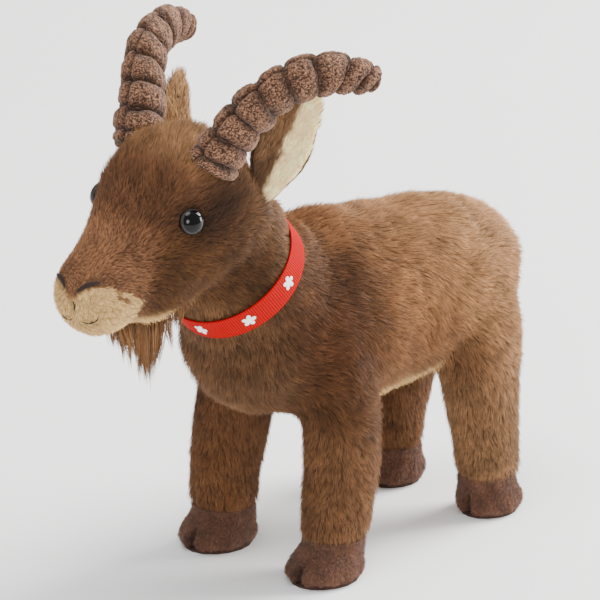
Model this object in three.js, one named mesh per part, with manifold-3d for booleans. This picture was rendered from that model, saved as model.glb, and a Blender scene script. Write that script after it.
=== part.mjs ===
// A standing plush ibex, in millimetres. +Z is up, the animal faces -Y and its left side is +X.
// The origin lies on the ground, below the middle of the animal's bounding box.
// Fur fabric is a thin pelt over a firm fibre filling; horns, ears, hooves and muzzle are separate
// fabric pieces sewn on, and the eyes are plastic with a stem and a lock washer inside the head.
import * as THREE from "three";
import { mergeVertices } from "three/addons/utils/BufferGeometryUtils.js";
import Module from "manifold-3d";

const wasm = await Module();
wasm.setup();

// ---------- driving dimensions ----------
const GAP = 0.3; // between pieces that are sewn or pressed together
const PELT = 3; // backing cloth with its flattened pile
const MIDDLE_Y = 50.2; // shifts the animal so that the origin is under the middle of its box
const HOOF_HEIGHT = 21;
const SOLE_THICKNESS = 1.2;
const EYE_RADIUS = 6.5;
const RIBBON = { width: 14, thickness: 0.8, radius: 35.5 };
const COLLAR_CENTRE = new THREE.Vector3(0, -92, 162.5);
const NECK_AXIS = new THREE.Vector3(0, -0.663, 0.749).normalize();

// ---------- materials ----------
const cloth = (color, roughness = 0.95) =>
  new THREE.MeshStandardMaterial({ color, roughness, metalness: 0 });
const FUR = cloth(0x6f4c30);
const DARK_FUR = cloth(0x50331f);
const CREAM = cloth(0xd3b98c);
const HOOF_CLOTH = cloth(0x6b4a3c);
const SOLE_CLOTH = cloth(0x3c2a24);
const HORN_CLOTH = cloth(0x7c5a48);
const RED = cloth(0xd8201f, 0.6);
const THREAD = cloth(0x1d1512, 0.8);
const FILLING = cloth(0xe9e6df);
const EYE_PLASTIC = cloth(0x0b0a0a, 0.08);
const WASHER_PLASTIC = cloth(0xd9d9d4, 0.5);

// ---------- solids ----------
function solidOf(geometry) {
  const bare = geometry.clone();
  for (const name of Object.keys(bare.attributes)) if (name !== "position") bare.deleteAttribute(name);
  const merged = mergeVertices(bare, 1e-4);
  return new wasm.Manifold(
    new wasm.Mesh({
      numProp: 3,
      vertProperties: merged.attributes.position.array,
      triVerts: new Uint32Array(merged.index.array),
    }),
  );
}

// The same for a geometry whose faces may point in.
function upright(geometry) {
  const solid = solidOf(geometry);
  return solid.volume() > 0 ? solid : solidOf(flipped(mergeVertices(geometry)));
}

function geometryOf(solid) {
  const mesh = solid.getMesh();
  const geometry = new THREE.BufferGeometry();
  const points = new Float32Array(mesh.numVert * 3);
  for (let i = 0; i < mesh.numVert; i++)
    points.set(mesh.vertProperties.subarray(i * mesh.numProp, i * mesh.numProp + 3), i * 3);
  geometry.setAttribute("position", new THREE.BufferAttribute(points, 3));
  geometry.setIndex(new THREE.BufferAttribute(new Uint32Array(mesh.triVerts), 1));
  return geometry;
}

const group = new THREE.Group();
group.position.y = MIDDLE_Y;

function addMesh(name, shape, material) {
  const geometry = shape.isBufferGeometry ? shape : geometryOf(shape);
  const mesh = new THREE.Mesh(geometry, material);
  mesh.name = name;
  group.add(mesh);
  return mesh;
}

// ---------- stuffed forms ----------
// A form is a row of stations [x, y, z, half width, half depth] along a spine. The half width lies
// as near to X as the spine lets it. A first or last station with no width is a round end.
class Form {
  constructor(stations, { sides = 16, steps = 14 } = {}) {
    this.spine = new THREE.CatmullRomCurve3(
      stations.map(([x, y, z]) => new THREE.Vector3(x, y, z)),
      false,
      "catmullrom",
      0.5,
    );
    this.sizes = new THREE.CatmullRomCurve3(
      stations.map(([, , , width, depth]) => new THREE.Vector3(width, depth, 0)),
      false,
      "catmullrom",
      0.5,
    );
    this.sides = sides;
    this.steps = steps;
  }

  // The spine's place, its direction and the section's two axes at u from 0 to 1.
  frame(u) {
    const at = this.spine.getPoint(u);
    const along = this.spine.getTangent(u);
    const wide = new THREE.Vector3(1, 0, 0).addScaledVector(along, -along.x).normalize();
    const deep = new THREE.Vector3().crossVectors(wide, along);
    return { at, along, wide, deep };
  }

  // The point of the surface at u, at an angle counted from the wide axis towards the deep one.
  point(u, angle) {
    const { at, wide, deep } = this.frame(u);
    const size = this.sizes.getPoint(u);
    return at
      .addScaledVector(wide, Math.cos(angle) * Math.max(size.x, 0))
      .addScaledVector(deep, Math.sin(angle) * Math.max(size.y, 0));
  }

  // The surface moved out by swell. A flat end stays in its own plane and a round end moves along.
  moved(u, angle, swell) {
    const { along, wide, deep } = this.frame(u);
    const p = this.point(u, angle);
    const atEnd = u === 0 || u === 1;
    if (!atEnd) return p.addScaledVector(this.normal(u, angle), swell);
    if (this.sizes.getPoint(u).x < 0.01) return p.addScaledVector(along, u === 0 ? -swell : swell);
    return p.addScaledVector(wide, Math.cos(angle) * swell).addScaledVector(deep, Math.sin(angle) * swell);
  }

  // The outward direction of the surface there.
  normal(u, angle) {
    const d = 0.01;
    const byAngle = this.point(u, angle + d).sub(this.point(u, angle - d));
    const byLength = this.point(Math.min(u + d, 1), angle).sub(this.point(Math.max(u - d, 0), angle));
    return byLength.cross(byAngle).normalize();
  }

  // The closed solid, with its surface moved out by swell. modify(point, u) may move each point, where the
  // section isn't a plain ellipse.
  solid(swell = 0, modify = (p) => p) {
    const points = [];
    const triangles = [];
    const { sides, steps } = this;
    for (let i = 0; i <= steps; i++)
      for (let k = 0; k < sides; k++) {
        const p = modify(this.moved(i / steps, (k / sides) * Math.PI * 2, swell), i / steps);
        points.push(p.x, p.y, p.z);
      }
    for (let i = 0; i < steps; i++)
      for (let k = 0; k < sides; k++) {
        const a = i * sides + k;
        const b = i * sides + ((k + 1) % sides);
        triangles.push(a, b, b + sides, a, b + sides, a + sides);
      }
    for (const [ring, forward] of [[0, false], [steps, true]]) {
      const centre = points.length / 3;
      const middle = this.frame(ring / steps).at;
      const round = this.sizes.getPoint(ring / steps).x < 0.01;
      const end = round ? new THREE.Vector3(...points.slice(ring * sides * 3, ring * sides * 3 + 3)) : middle;
      points.push(end.x, end.y, end.z);
      for (let k = 0; k < sides; k++) {
        const a = ring * sides + k;
        const b = ring * sides + ((k + 1) % sides);
        triangles.push(...(forward ? [a, b, centre] : [b, a, centre]));
      }
    }
    const geometry = new THREE.BufferGeometry();
    geometry.setAttribute("position", new THREE.Float32BufferAttribute(points, 3));
    geometry.setIndex(triangles);
    return upright(dropCollapsed(mergeVertices(geometry, 1e-3)));
  }
}

// Rings shrink to a point at a round end, which leaves triangles with no area there.
function dropCollapsed(geometry) {
  const kept = [];
  const index = geometry.index.array;
  for (let i = 0; i < index.length; i += 3) {
    const [a, b, c] = index.slice(i, i + 3);
    if (a !== b && b !== c && a !== c) kept.push(a, b, c);
  }
  geometry.setIndex(kept);
  return geometry;
}

function flipped(geometry) {
  const index = geometry.index.array;
  for (let i = 0; i < index.length; i += 3) [index[i + 1], index[i + 2]] = [index[i + 2], index[i + 1]];
  return geometry;
}

function box(low, high) {
  const size = new THREE.Vector3().subVectors(high, low);
  const made = new THREE.BoxGeometry(size.x, size.y, size.z);
  const centre = new THREE.Vector3().addVectors(low, high).multiplyScalar(0.5);
  made.translate(centre.x, centre.y, centre.z);
  return solidOf(made);
}

const FAR = 500;
const below = (z) => box(new THREE.Vector3(-FAR, -FAR, -FAR), new THREE.Vector3(FAR, FAR, z));

// A round shape that was made along +Z, turned to point along a direction at a place.
function placed(geometry, at, along) {
  const turn = new THREE.Quaternion().setFromUnitVectors(new THREE.Vector3(0, 0, 1), along);
  geometry.applyQuaternion(turn);
  geometry.translate(at.x, at.y, at.z);
  return geometry;
}

function rod(radius, length, at, along, sides = 12) {
  const made = new THREE.CylinderGeometry(radius, radius, length, sides);
  made.rotateX(Math.PI / 2);
  return solidOf(placed(made, at, along));
}

const mirrored = (stations) => stations.map(([x, ...rest]) => [-x, ...rest]);
const SIDES = [
  { side: "left", sign: 1 },
  { side: "right", sign: -1 },
];
const onSide = (sign, stations) => (sign > 0 ? stations : mirrored(stations));
const join = (...solids) => solids.reduce((a, b) => a.add(b));

// ---------- the outlines of the stuffed parts ----------
const torso = new Form(
  [
    [0, -106, 123, 0, 0],
    [0, -103, 123, 21, 20],
    [0, -90, 123, 34.5, 35],
    [0, -68, 125, 39.5, 42.5],
    [0, -33, 123.5, 41, 49],
    [0, 6, 122, 42, 48.5],
    [0, 34, 124, 41, 44],
    [0, 62, 126, 38, 37],
    [0, 82, 125, 33, 29.5],
    [0, 96, 122, 22, 19],
    [0, 101, 120, 0, 0],
  ],
  { sides: 16, steps: 15 },
);

const alongNeck = (distance) => COLLAR_CENTRE.clone().addScaledVector(NECK_AXIS, distance).toArray();
const neck = new Form(
  [
    [...alongNeck(-42), 37, 37],
    [...alongNeck(-20), 36, 36],
    [...alongNeck(0), 34, 34],
    [...alongNeck(18), 32, 32],
    [...alongNeck(36), 27, 27],
  ],
  { sides: 16, steps: 5 },
);

const head = new Form(
  [
    [0, -208, 170, 0, 0],
    [0, -205, 171, 13, 11],
    [0, -196, 175, 18.5, 16.5],
    [0, -183, 180, 21.5, 21.5],
    [0, -170, 186, 27, 28.5],
    [0, -155, 193.5, 32, 34],
    [0, -139, 200, 34.5, 38],
    [0, -122, 203.5, 35, 37],
    [0, -107, 205.5, 31, 30.5],
    [0, -96, 206.5, 20, 19.5],
    [0, -91, 207, 0, 0],
  ],
  { sides: 16, steps: 15 },
);

// The animal stands a little unevenly: each leg has a lean of its own.
const legOf = (sign, heights, centres, sizes) =>
  heights.map((z, i) => [sign * centres[i][0], centres[i][1], z, ...sizes[i]]);
const ANKLE = HOOF_HEIGHT - 5;
const FRONT_HEIGHTS = [ANKLE, 32, 54, 78, 102, 122];
const FRONT_SIZES = [[16.5, 16.5], [17.5, 17.5], [18, 18.5], [19, 19.5], [19, 22], [15, 20]];
const HIND_HEIGHTS = [ANKLE, 32, 50, 74, 100, 124];
const HIND_SIZES = [[15, 15], [16.5, 16.5], [16.5, 18], [17.5, 22.5], [18.5, 26], [14, 22]];
const legs = [
  {
    name: "front_left",
    stations: legOf(
      1,
      FRONT_HEIGHTS,
      [[36, -58], [36, -56], [35, -51], [33, -48], [28, -48], [21, -50]],
      FRONT_SIZES,
    ),
    hoof: { centre: [36.6, -64.2], half: [18.4, 21.5] },
  },
  {
    name: "front_right",
    stations: legOf(
      -1,
      FRONT_HEIGHTS,
      [[36, -61], [36, -61], [35, -58.5], [33, -55], [28, -52], [21, -50]],
      FRONT_SIZES,
    ),
    hoof: { centre: [-36.6, -64.7], half: [18.4, 21.5] },
  },
  {
    name: "hind_left",
    stations: legOf(
      1,
      HIND_HEIGHTS,
      [[33, 63], [33, 62], [32, 61], [29, 61], [25, 61], [20, 60]],
      HIND_SIZES,
    ),
    hoof: { centre: [33, 64], half: [16.2, 18] },
  },
  {
    name: "hind_right",
    stations: legOf(
      -1,
      HIND_HEIGHTS,
      [[33, 63], [33, 63], [32, 64.5], [29, 67], [25, 67], [20, 64]],
      HIND_SIZES,
    ),
    hoof: { centre: [-33, 63], half: [16.2, 18] },
  },
].map((leg) => ({ ...leg, form: new Form(leg.stations, { sides: 12, steps: 6 }) }));

// ---------- pelts and their filling ----------
// Each pelt is a hollow skin. It stops at the outside of the part it is sewn to, which has an
// opening there, so that the filling runs through from one part to the next.
const torsoOuter = torso.solid();
const torsoInner = torso.solid(-PELT);
const neckOuter = neck.solid();
const neckInner = neck.solid(-PELT);
const headOuter = head.solid();
const headInner = head.solid(-PELT);

const torsoSkin = legs.reduce(
  (skin, leg) => skin.subtract(leg.form.solid(-PELT)),
  torsoOuter.subtract(torsoInner).subtract(neckInner),
);

// The pale gusset along the belly is cut out of the torso skin.
const GUSSET = { front: -34, back: 52, halfWidth: 17, top: 96 };
const gussetSpace = (margin) =>
  box(
    new THREE.Vector3(-GUSSET.halfWidth - margin, GUSSET.front - margin, 0),
    new THREE.Vector3(GUSSET.halfWidth + margin, GUSSET.back + margin, GUSSET.top),
  );
addMesh("torso_pelt", torsoSkin.subtract(gussetSpace(GAP)), FUR);
addMesh("belly_gusset", torsoSkin.intersect(gussetSpace(0)), CREAM);

const neckSkin = neckOuter
  .subtract(neckInner)
  .subtract(torso.solid(GAP))
  .subtract(head.solid(GAP));
addMesh("neck_pelt", largest(neckSkin), FUR);

// A skin cut by two round forms can leave slivers beside the piece that matters.
function largest(solid) {
  return solid.decompose().reduce((a, b) => (a.volume() > b.volume() ? a : b));
}

addMesh(
  "torso_filling",
  largest(join(torso.solid(-PELT - GAP), neck.solid(-PELT - GAP).subtract(head.solid(GAP)))),
  FILLING,
);

for (const leg of legs) {
  const skin = leg.form.solid().subtract(leg.form.solid(-PELT)).subtract(torso.solid(GAP));
  const core = leg.form.solid(-PELT - GAP).subtract(torso.solid(-PELT));
  const aboveHoof = (solid) => largest(solid.subtract(below(HOOF_HEIGHT + GAP)));
  addMesh(`${leg.name}_leg_pelt`, aboveHoof(skin), FUR);
  addMesh(`${leg.name}_leg_filling`, aboveHoof(core), FILLING);
}

// ---------- hooves ----------
// A short-pile boot, cleft at the front into two toes, over a flat sole.
const CLEFT = { width: 3.2, depth: 11, height: 13 };
for (const leg of legs) {
  const [x, y, , top] = leg.stations[0];
  const [halfWidth, halfLength] = leg.hoof.half;
  const [footX, footY] = leg.hoof.centre;
  const bottom = SOLE_THICKNESS + GAP;
  const boot = new Form(
    [
      [footX, footY, bottom, halfWidth - 2.5, halfLength - 2.5],
      [footX, footY, bottom + 3, halfWidth - 0.4, halfLength - 0.2],
      [footX, footY, bottom + 8, halfWidth, halfLength],
      [(footX + x) / 2, (footY + y) / 2, bottom + 14, halfWidth - 1, halfLength - 2.5],
      [x, y, HOOF_HEIGHT, top + 0.4, top + 0.4],
      [x, y, HOOF_HEIGHT + 6, top, top],
    ],
    { sides: 14, steps: 7 },
  );
  const front = footY - halfLength - 1;
  const cleft = box(
    new THREE.Vector3(footX - CLEFT.width / 2, front, 0),
    new THREE.Vector3(footX + CLEFT.width / 2, front + CLEFT.depth, CLEFT.height),
  );
  const shut = boot.solid().subtract(below(bottom)).intersect(below(HOOF_HEIGHT));
  addMesh(`${leg.name}_hoof`, shut.subtract(cleft), HOOF_CLOTH);
  addMesh(`${leg.name}_sole`, soleOf(footX, footY, halfWidth - 2.5, halfLength - 2.5), SOLE_CLOTH);
}

function soleOf(x, y, halfWidth, halfLength) {
  const outline = new THREE.Shape();
  outline.absellipse(0, 0, halfWidth, halfLength, 0, Math.PI * 2);
  const sole = new THREE.ExtrudeGeometry(outline, {
    depth: SOLE_THICKNESS,
    bevelEnabled: false,
    curveSegments: 8,
  });
  sole.translate(x, y, 0);
  return solidOf(sole);
}

// ---------- eyes ----------
// A glossy dome with a ribbed stem through the pelt, held by a washer behind it.
const EYE = { u: 0.55, angle: 0.42, dome: 4.2, stem: 1.6, stemLength: 12 };
const WASHER = { radius: 6, thickness: 1.2 };
const eyes = SIDES.map(({ side, sign }) => {
  const angle = sign > 0 ? EYE.angle : Math.PI - EYE.angle;
  const out = head.normal(EYE.u, angle);
  const seat = head.point(EYE.u, angle).addScaledVector(out, GAP);
  return { side, seat, out };
});

function eyeShape({ seat, out }) {
  const profile = [new THREE.Vector2(0, -EYE.stemLength), new THREE.Vector2(EYE.stem, -EYE.stemLength)];
  profile.push(new THREE.Vector2(EYE.stem, -0.01), new THREE.Vector2(EYE_RADIUS, 0));
  for (let a = 20; a < 90; a += 25) {
    const turn = THREE.MathUtils.degToRad(a);
    profile.push(new THREE.Vector2(Math.cos(turn) * EYE_RADIUS, Math.sin(turn) * EYE.dome + 0.6));
  }
  profile.push(new THREE.Vector2(0, EYE.dome + 0.6));
  const lathe = new THREE.LatheGeometry(profile, 14);
  lathe.rotateX(Math.PI / 2);
  return upright(placed(lathe, seat, out));
}

function washerShape({ seat, out }, margin = 0) {
  const at = seat.clone().addScaledVector(out, -PELT - 1.6 - WASHER.thickness / 2);
  const disc = rod(WASHER.radius + margin, WASHER.thickness + 2 * margin, at, out, 14);
  return margin ? disc : disc.subtract(rod(EYE.stem + GAP, 8, at, out, 8));
}

const eyeHoles = join(
  ...eyes.map(({ seat, out }) => rod(EYE.stem + GAP, 30, seat, out, 8)),
  ...eyes.map((eye) => washerShape(eye, GAP)),
);
const eyeSockets = join(...eyes.map(({ seat, out }) => rod(EYE_RADIUS + 0.4, 3, seat.clone(), out, 14)));
for (const eye of eyes) {
  addMesh(`${eye.side}_eye`, eyeShape(eye), EYE_PLASTIC);
  addMesh(`${eye.side}_eye_washer`, washerShape(eye), WASHER_PLASTIC);
}

// ---------- head ----------
const MUZZLE = { back: -178, top: 177 };
const muzzleSpace = (margin) =>
  box(
    new THREE.Vector3(-FAR, -FAR, 0),
    new THREE.Vector3(FAR, MUZZLE.back + margin, MUZZLE.top + margin),
  );
const headSkin = headOuter.subtract(headInner).subtract(neckInner).subtract(eyeHoles).subtract(eyeSockets);
addMesh("head_pelt", largest(headSkin.subtract(muzzleSpace(GAP))), FUR);
addMesh("muzzle", largest(headSkin.intersect(muzzleSpace(0))), CREAM);
addMesh(
  "head_filling",
  largest(head.solid(-PELT - GAP).subtract(neck.solid(-PELT)).subtract(eyeHoles)),
  FILLING,
);

// A thread laid on the head's surface along a list of [u, angle] places.
function stitch(places, radius, lift = radius + GAP) {
  const path = new THREE.CatmullRomCurve3(
    places.map(([u, angle]) => head.point(u, angle).addScaledVector(head.normal(u, angle), lift)),
  );
  const section = new THREE.Shape();
  section.absarc(0, 0, radius, 0, Math.PI * 2);
  return new THREE.ExtrudeGeometry(section, {
    extrudePath: path,
    steps: 2 * places.length,
    curveSegments: 3,
    bevelEnabled: false,
  });
}

const TOP = Math.PI / 2;
for (const { side, sign } of SIDES) {
  const at = (u, spread) => [u, TOP - sign * spread];
  addMesh(`${side}_nostril_stitch`, stitch([at(0.13, 0.22), at(0.138, 0.55), at(0.16, 0.85)], 1.1), THREAD);
}
addMesh("mouth_stitch", stitch([[0.1, TOP], [0.075, TOP], [0.045, TOP]], 0.6), THREAD);

// ---------- horns ----------
// A terry-cloth tube stuffed firmly and tied round at even steps, which leaves a row of rolls.
const HORN = { rolls: 9, wall: 2.2, groove: 0.17, root: [22.5, -136, 226] };
const hornSpine = [
  [...HORN.root, 11, 14],
  [27, -130, 238, 10.8, 13.8],
  [33, -121.5, 252.5, 10.4, 13.2],
  [40.5, -112.5, 264, 9.8, 12.4],
  [48, -99.5, 272, 9.2, 11.6],
  [55.5, -82.5, 274, 8.4, 10.4],
  [61, -66.5, 270.5, 7.4, 9],
  [63.5, -55.5, 266.5, 5, 6],
];
const ROLL_STEPS = 3;
for (const { side, sign } of SIDES) {
  const steps = HORN.rolls * ROLL_STEPS;
  const outside = new Form(onSide(sign, hornSpine), { sides: 10, steps });
  const inside = new Form(onSide(sign, hornSpine), { sides: 8, steps: 7 });
  const pinch = (p, u) => {
    const depth = HORN.groove * (1 - Math.abs(Math.sin(u * HORN.rolls * Math.PI)) ** 0.6);
    const at = outside.frame(u).at;
    return at.lerp(p, 1 - depth);
  };
  const base = new THREE.Vector3(sign * HORN.root[0], HORN.root[1], HORN.root[2]);
  const start = outside.frame(0).along;
  const mouth = rod(7, 10, base, start);
  const cover = outside
    .solid(0, pinch)
    .subtract(inside.solid(-HORN.wall - 2))
    .subtract(mouth)
    .subtract(head.solid(GAP));
  addMesh(`${side}_horn`, largest(cover), HORN_CLOTH);
  addMesh(
    `${side}_horn_filling`,
    largest(inside.solid(-HORN.wall - 2 - GAP).subtract(head.solid(GAP))),
    FILLING,
  );
}

// ---------- ears ----------
// Each ear is two leaves sewn edge to edge: fur behind, cream lining in front, cupped a little.
const EAR = { cloth: 1.6, halfWidth: 13, base: 0.62, cup: 3.5, clearance: 2.1 };
const ears = [
  { side: "left", root: [32, -110, 214], tip: [38, -73, 264], facing: [0.82, -0.5, 0.15] },
  { side: "right", root: [-33, -101, 212], tip: [-42.5, -89.5, 256], facing: [-0.97, -0.15, 0.1] },
];

function earLeaf({ root, tip, facing }, offset, shrink) {
  const from = new THREE.Vector3(...root);
  const along = new THREE.Vector3(...tip).sub(from);
  const length = along.length();
  along.normalize();
  const face = new THREE.Vector3(...facing);
  face.addScaledVector(along, -face.dot(along)).normalize();
  const across = new THREE.Vector3().crossVectors(along, face);
  const outline = new THREE.SphereGeometry(1, 12, 8);
  const position = outline.getAttribute("position");
  for (let i = 0; i < position.count; i++) {
    const [s, h, t] = [position.getX(i), position.getY(i), position.getZ(i)];
    const rise = (h + 1) / 2;
    const narrowing = EAR.base + (1 - EAR.base) * THREE.MathUtils.smoothstep(rise, 0, 0.45);
    const w = s * (EAR.halfWidth - shrink) * (1.14 - 0.3 * rise) * narrowing;
    const cup = EAR.cup * (1 - (w / EAR.halfWidth) ** 2);
    const p = from
      .clone()
      .addScaledVector(along, shrink + rise * (length - 2 * shrink))
      .addScaledVector(across, w)
      .addScaledVector(face, (t * EAR.cloth) / 2 + offset - cup);
    position.setXYZ(i, p.x, p.y, p.z);
  }
  outline.deleteAttribute("normal");
  outline.deleteAttribute("uv");
  return upright(dropCollapsed(mergeVertices(outline, 1e-3)));
}

for (const ear of ears) {
  const clear = head.solid(EAR.clearance);
  addMesh(`${ear.side}_ear_back`, largest(earLeaf(ear, 0, 0).subtract(clear)), FUR);
  addMesh(`${ear.side}_ear_lining`, largest(earLeaf(ear, EAR.cloth + GAP, 1.2).subtract(clear)), CREAM);
}

// ---------- beard and tail ----------
const BEARD_CLEARANCE = 2.6;
const TAIL_CLEARANCE = 1.2;
const beard = new Form(
  [
    [0, -160, 166, 6, 22],
    [0, -160, 154, 6.5, 22],
    [0, -159, 141, 5.5, 19],
    [0, -155, 127, 3.5, 11],
    [0, -152, 118, 0, 0],
  ],
  { sides: 10, steps: 6 },
);
addMesh("beard", largest(beard.solid().subtract(head.solid(BEARD_CLEARANCE))), DARK_FUR);

const tail = new Form(
  [
    [0, 95, 143, 6.5, 4.5],
    [0, 102, 136, 8, 5.5],
    [0, 105.5, 125, 8, 5],
    [0, 105.5, 112, 5, 3.5],
    [0, 104, 106, 0, 0],
  ],
  { sides: 10, steps: 6 },
);
addMesh("tail", largest(tail.solid().subtract(torso.solid(TAIL_CLEARANCE))), FUR);

// ---------- collar ----------
function ribbonLoop({ width, thickness, radius }) {
  const half = width / 2;
  const profile = [
    new THREE.Vector2(radius, -half),
    new THREE.Vector2(radius + thickness, -half),
    new THREE.Vector2(radius + thickness, half),
    new THREE.Vector2(radius, half),
    new THREE.Vector2(radius, -half),
  ];
  const loop = new THREE.LatheGeometry(profile, 32);
  loop.rotateX(Math.PI / 2);
  return upright(placed(loop, COLLAR_CENTRE, NECK_AXIS));
}
addMesh("collar_ribbon", ribbonLoop(RIBBON), RED);

export default group;
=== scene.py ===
from math import cos, pi, radians, sin

import bmesh
import bpy
import numpy as np
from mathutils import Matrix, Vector, noise
from mathutils.bvhtree import BVHTree
from mathutils.kdtree import KDTree


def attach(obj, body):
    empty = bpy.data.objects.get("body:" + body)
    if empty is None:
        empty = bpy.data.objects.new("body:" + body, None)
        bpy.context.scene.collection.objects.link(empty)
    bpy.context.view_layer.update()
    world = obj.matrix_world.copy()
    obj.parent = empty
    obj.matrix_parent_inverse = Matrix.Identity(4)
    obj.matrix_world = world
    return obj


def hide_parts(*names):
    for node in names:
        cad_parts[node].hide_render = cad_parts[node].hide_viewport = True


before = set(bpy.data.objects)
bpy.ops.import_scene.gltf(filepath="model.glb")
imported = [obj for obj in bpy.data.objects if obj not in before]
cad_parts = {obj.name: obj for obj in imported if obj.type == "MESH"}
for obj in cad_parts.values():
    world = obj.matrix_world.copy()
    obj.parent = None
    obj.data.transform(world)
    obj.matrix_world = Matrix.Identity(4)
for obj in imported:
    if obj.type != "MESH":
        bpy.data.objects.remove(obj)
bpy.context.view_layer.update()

scene = bpy.context.scene

# Shapes are worked out in millimetres with y = 0 midway between the feet, and the frame's own
# origin lies MIDDLE_Y in front of that. The animal faces -Y and its left side is +X.
MIDDLE_Y = 50.2
SIDES = {"left": 1.0, "right": -1.0}
LEGS = ["front_left", "front_right", "hind_left", "hind_right"]
X, Z = np.eye(3)[[0, 2]]


def metres(points):
    return (np.asarray(points, float) + [0, MIDDLE_Y, 0]) / 1000


def millimetres(points):
    return np.asarray(points, float) * 1000 - [0, MIDDLE_Y, 0]


def size_of(vectors):
    return np.linalg.norm(vectors, axis=-1)


def unit(vectors):
    return vectors / np.maximum(size_of(vectors), 1e-9)[..., None]


def dot(a, b):
    return np.sum(a * b, axis=-1, keepdims=True)


def laid(ways, normals):
    """Directions turned to lie along the surface."""
    return unit(ways - dot(ways, normals) * normals)


def bump(points, place, reach):
    """A soft hill, 1 at a place and gone at about twice its reach."""
    return np.exp(-(size_of(points - place) / reach) ** 2)


def step(value, low, high):
    """A smooth rise from 0 at low to 1 at high."""
    t = np.clip((value - low) / (high - low), 0, 1)
    return t * t * (3 - 2 * t)


def ripple(points, size, seed):
    """Smooth noise of about -1 to 1 whose features are size mm across."""
    rng = np.random.default_rng(seed)
    total = np.zeros(len(points))
    for octave in range(7):
        way = unit(rng.normal(size=3)) * rng.uniform(0.7, 1.5) * pi / size
        total += np.sin(points @ way + rng.uniform(0, 2 * pi))
    return total / 2.6


def circle(count):
    """Even angles once round."""
    return np.arange(count) / count * 2 * pi


def ripple3(points, size, seed):
    return np.stack([ripple(points, size, seed + k) for k in range(3)], axis=1)


# ---- meshes ----
def add_object(name, data):
    obj = bpy.data.objects.new(name, data)
    scene.collection.objects.link(obj)
    return obj


def new_mesh(name, points, faces, tint=None):
    """A smooth mesh from points in mm and one or more arrays of faces, with a colour per point."""
    mesh = bpy.data.meshes.new(name)
    mesh.vertices.add(len(points))
    mesh.vertices.foreach_set("co", metres(points).astype(np.float32).ravel())
    corners = np.concatenate([np.asarray(f).ravel() for f in faces]).astype(np.int32)
    sizes = np.concatenate([np.full(len(f), np.shape(f)[1]) for f in faces])
    mesh.loops.add(len(corners))
    mesh.loops.foreach_set("vertex_index", corners)
    mesh.polygons.add(len(sizes))
    mesh.polygons.foreach_set("loop_start", (np.cumsum(sizes) - sizes).astype(np.int32))
    mesh.update(calc_edges=True)
    mesh.shade_smooth()
    if tint is not None:
        set_tint(mesh, tint)
    return mesh


def set_tint(mesh, colours):
    """Gives a mesh the colour per point that its material reads."""
    rgba = np.ones((len(mesh.vertices), 4), np.float32)
    rgba[:, :3] = np.clip(colours, 0, 1)
    layer = mesh.color_attributes.new("tint", "FLOAT_COLOR", "POINT")
    layer.data.foreach_set("color", rgba.ravel())


def piece(name, mesh, body, material, replaces=()):
    """Adds a mesh as a piece that moves with a body and may stand for CAD nodes."""
    obj = add_object(name, mesh)
    mesh.materials.append(material)
    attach(obj, body)
    if replaces:
        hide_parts(*replaces)
    return obj


def triples(items, key, kind=np.float32):
    """Three numbers of every vertex or triangle, as rows."""
    values = np.empty(len(items) * 3, kind)
    items.foreach_get(key, values)
    return values.reshape(-1, 3)


class Surface:
    """A mesh as arrays in mm: points, their normals and triangles."""

    def __init__(self, mesh):
        mesh.calc_loop_triangles()
        self.mesh = mesh
        self.points = millimetres(triples(mesh.vertices, "co"))
        self.normals = triples(mesh.vertex_normals, "vector").astype(float)
        self.triangles = triples(mesh.loop_triangles, "vertices", np.int32)

    def scatter(self, density, rng, keep=lambda places, normals: 1):
        """Random points on it, density to the square mm where keep is 1, and the normals there."""
        a, b, c = (self.points[self.triangles[:, k]] for k in range(3))
        middle = (a + b + c) / 3
        face_normals = unit(self.normals[self.triangles].mean(axis=1))
        area = size_of(np.cross(b - a, c - a)) / 2
        weight = area * density * keep(middle, face_normals)
        count = int(weight.sum())
        # Even steps along the running sum spread the points better than free choice.
        spots = (np.arange(count) + rng.uniform(0, 1, count)) / count * weight.sum()
        chosen = np.searchsorted(np.cumsum(weight), spots).clip(0, len(weight) - 1)
        u, v = rng.uniform(size=(2, count, 1))
        flip = (u + v) > 1
        u, v = np.where(flip, 1 - u, u), np.where(flip, 1 - v, v)
        p, q, r = self.triangles[chosen].T
        places, normals = ((1 - u - v) * at[p] + u * at[q] + v * at[r] for at in (self.points, self.normals))
        return places, unit(normals)


def evaluated(obj):
    """A mesh of what an object's modifiers make of it."""
    graph = bpy.context.evaluated_depsgraph_get()
    graph.update()
    return bpy.data.meshes.new_from_object(obj.evaluated_get(graph))


def modified(mesh, kind, **settings):
    """The mesh after one modifier."""
    obj = add_object("work", mesh)
    modifier = obj.modifiers.new("work", kind)
    for key, value in settings.items():
        setattr(modifier, key, value)
    result = evaluated(obj)
    bpy.data.objects.remove(obj)
    return result


def joined(nodes):
    """One mesh with copies of CAD nodes, and the number of the node that each face is from."""
    bm = bmesh.new()
    owners = []
    for number, node in enumerate(nodes):
        bm.from_mesh(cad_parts[node].data)
        owners += [number] * (len(bm.faces) - len(owners))
    mesh = bpy.data.meshes.new("joined")
    bm.to_mesh(mesh)
    bm.free()
    return mesh, owners


def largest_shell(mesh):
    """Drops the closed surfaces that lie inside the outermost one."""
    bm = bmesh.new()
    bm.from_mesh(mesh)
    left, shells = set(bm.verts), []
    while left:
        queue = [left.pop()]
        shell = set(queue)
        while queue:
            for edge in queue.pop().link_edges:
                for v in edge.verts:
                    if v not in shell:
                        shell.add(v)
                        queue.append(v)
        left -= shell
        shells.append(shell)
    largest = max(shells, key=len)
    bmesh.ops.delete(bm, geom=[v for v in bm.verts if v not in largest], context="VERTS")
    bm.to_mesh(mesh)
    bm.free()
    return mesh


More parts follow.
